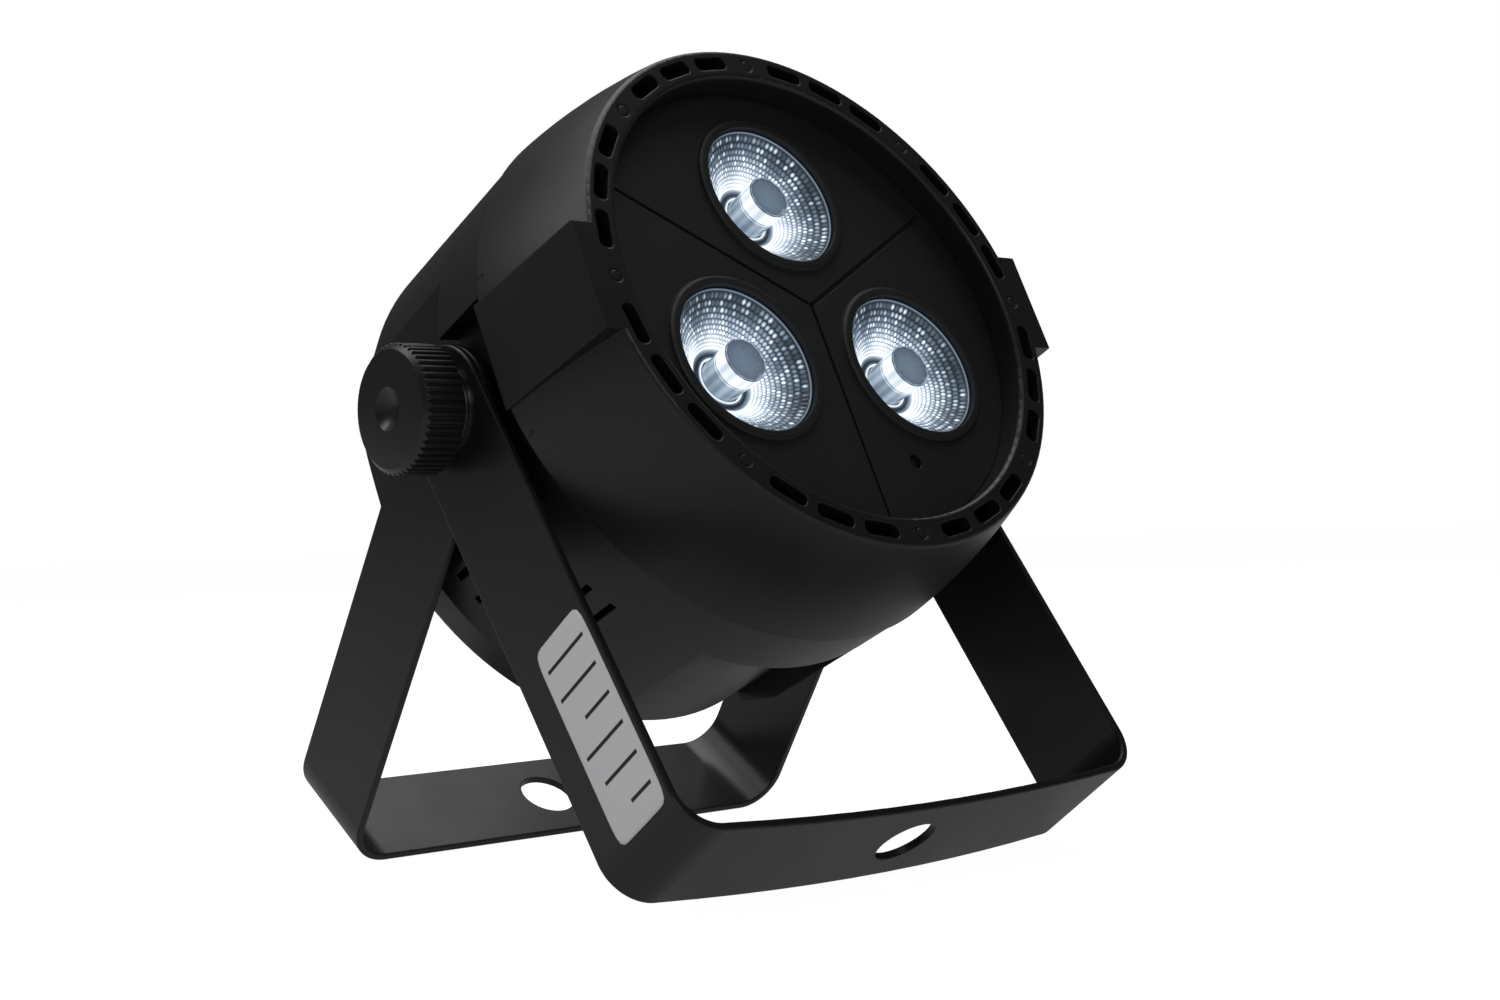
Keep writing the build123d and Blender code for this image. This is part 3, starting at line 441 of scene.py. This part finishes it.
def buildLabel():
    # a rounded plate as a grid: rows run from its middle out to the rounded outline and down its edge
    count = label["segments"]
    turn = (np.arange(count) + 0.5) / count * 2 * np.pi
    half = np.array([(label["end"] - label["start"]) / 2, (label["high"] - label["low"]) / 2])
    middle = np.array([(label["end"] + label["start"]) / 2, (label["high"] + label["low"]) / 2])
    # outline: how far the plate reaches in each direction, a superellipse
    power = label["squareness"]
    fall = np.abs(np.cos(turn) / half[0]) ** power + np.abs(np.sin(turn) / half[1]) ** power
    reach = fall ** (-1 / power)
    shares = np.array([0.0, 0.5, 0.97, 1.0, 1.0])[:, None]
    lifts = np.array([1.0, 1.0, 1.0, 0.7, 0.0])[:, None] * label["thickness"]
    along = middle[0] + shares * reach * np.cos(turn)
    aside = middle[1] + shares * reach * np.sin(turn)
    plate = gridPiece("label_plate", legPlace(along, aside, lifts), "outer_bracket")
    plate.data.materials.append(materials["labelStock"])
    # ruled lines: thin raised strips of ink, each a short flat grid
    for step, (low, high) in enumerate(label["rules"]):
        at = label["start"] + label["firstRule"] + step * label["rulePitch"]
        along = at + np.array([-0.5, -0.5, 0.5, 0.5])[:, None] * label["ruleWidth"] * np.ones((1, 2))
        aside = np.array([low, high])[None, :] * np.ones((4, 1))
        ink = label["inkThickness"] * np.array([0, 1, 1, 0])
        lifts = label["thickness"] + ink[:, None] * np.ones((1, 2))
        places = legPlace(along, aside, lifts)
        rule = gridPiece(f"label_rule_{step + 1}", places, "outer_bracket", closed=False,
                         smooth=False)
        rule.data.materials.append(materials["labelInk"])


buildLabel()
print("label built")


# studio: a pale floor, a white backdrop and three soft boxes
studio = dict(
    floorRings=(0.0, 0.3, 1.0, 6.0), floorSegments=128,      # radii in metres
    floorColours=("#8a8a8a", "#8e8e8e"), mottle=0.25,
    floorLight=0.25, floorSeen=0.97,                 # its own light: on the object, to the camera
    room="#e9ebee", roomLight=0.07,
    backdrop="#ffffff",
    # soft boxes aimed at the pivot: place and size in metres, power in watts
    lamps=dict(
        overhead=dict(place=(0.1, 0.25, 1.1), size=(1.1, 0.9), power=7),
        leftBack=dict(place=(-0.7, 0.6, 0.95), size=(0.5, 0.7), power=3),
        frontLeft=dict(place=(-0.5, -0.9, 0.7), size=(0.3, 0.3), power=1.6),
    ),
)


def buildFloor():
    count = studio["floorSegments"]
    turn = np.arange(count) / count * 2 * np.pi
    radius = np.array(studio["floorRings"])[:, None]
    places = np.stack([radius * np.cos(turn), radius * np.sin(turn), 0 * radius * turn], axis=-1)
    mesh = bpy.data.meshes.new("floor")
    index = np.arange(places.shape[0] * count).reshape(-1, count)
    right = np.roll(index, -1, axis=1)
    faces = np.stack([index[:-1], index[1:], right[1:], right[:-1]], axis=-1).reshape(-1, 4)
    mesh.from_pydata(places.reshape(-1, 3).tolist(), [], faces.tolist())
    floor = bpy.data.objects.new("floor", mesh)
    bpy.context.scene.collection.objects.link(floor)
    material, tree, shader, place = startMaterial("paleFloor", {
        "Roughness": 0.85, "Specular IOR Level": 0.1, "Emission Color": linear(studio["backdrop"])})
    mottle = addNode(tree, "ShaderNodeTexNoise", {
        "Scale": 1 / studio["mottle"], "Detail": 2.0}, {"Vector": place})
    low, high = (linear(colour) for colour in studio["floorColours"])
    tone = addNode(tree, "ShaderNodeMix", {"data_type": "RGBA", 6: low, 7: high},
                   {0: mottle.outputs["Fac"]})
    tree.links.new(tone.outputs[2], shader.inputs["Base Color"])
    # a light table: lit a little from below, so that it stays pale out to the backdrop
    ray = addNode(tree, "ShaderNodeLightPath")
    lit = addNode(tree, "ShaderNodeMapRange", {
        "To Min": studio["floorLight"], "To Max": studio["floorSeen"],
    }, {"Value": ray.outputs["Is Camera Ray"]})
    tree.links.new(lit.outputs["Result"], shader.inputs["Emission Strength"])
    mesh.materials.append(material)


def buildRoom():
    # the camera sees a white backdrop; the room that lights the object is dimmer than that
    world = bpy.data.worlds.new("studio")
    bpy.context.scene.world = world
    world.use_nodes = True
    tree = world.node_tree
    tree.nodes.clear()
    seen = addNode(tree, "ShaderNodeBackground", {
        "Color": linear(studio["backdrop"]), "Strength": 1.0})
    room = addNode(tree, "ShaderNodeBackground", {
        "Color": linear(studio["room"]), "Strength": studio["roomLight"]})
    ray = addNode(tree, "ShaderNodeLightPath")
    both = addNode(tree, "ShaderNodeMixShader", links={
        0: ray.outputs["Is Camera Ray"], 1: room.outputs[0], 2: seen.outputs[0]})
    addNode(tree, "ShaderNodeOutputWorld", links={"Surface": both.outputs[0]})


def softLight(name, place, size, power):
    data = bpy.data.lights.new(name, "AREA")
    data.shape = "RECTANGLE"
    data.size, data.size_y = size
    data.energy = power
    lamp = bpy.data.objects.new(name, data)
    lamp.location = place
    lamp.rotation_euler = (Vector(pivot) - Vector(place)).to_track_quat("-Z", "Y").to_euler()
    bpy.context.scene.collection.objects.link(lamp)


buildFloor()
buildRoom()
for name, lamp in studio["lamps"].items():
    softLight(name, **lamp)
print("studio ready")


# offset is from the pivot in millimetres, the angles are in degrees and the lens in millimetres
shot = dict(offset=(-289.3, -347.2, -22.9), yaw=41.48, pitch=0.57, roll=-1.65, lens=51.96)


def buildCamera():
    yaw, pitch, roll = (math.radians(shot[key]) for key in ("yaw", "pitch", "roll"))
    forward = Vector((math.sin(yaw) * math.cos(pitch), math.cos(yaw) * math.cos(pitch), math.sin(pitch)))
    level = Vector((math.cos(yaw), -math.sin(yaw), 0))
    rise = level.cross(forward)
    right = level * math.cos(roll) + rise * math.sin(roll)
    up = -level * math.sin(roll) + rise * math.cos(roll)
    data = bpy.data.cameras.new("camera")
    data.lens = shot["lens"]
    data.clip_start = 0.01
    camera = bpy.data.objects.new("camera", data)
    turn = Matrix((right, up, -forward)).transposed().to_4x4()
    camera.matrix_world = Matrix.Translation(Vector(pivot) + Vector(shot["offset"]) * mm) @ turn
    bpy.context.scene.collection.objects.link(camera)
    bpy.context.scene.camera = camera


buildCamera()
bpy.context.scene.view_settings.view_transform = "Standard"
print("camera ready")
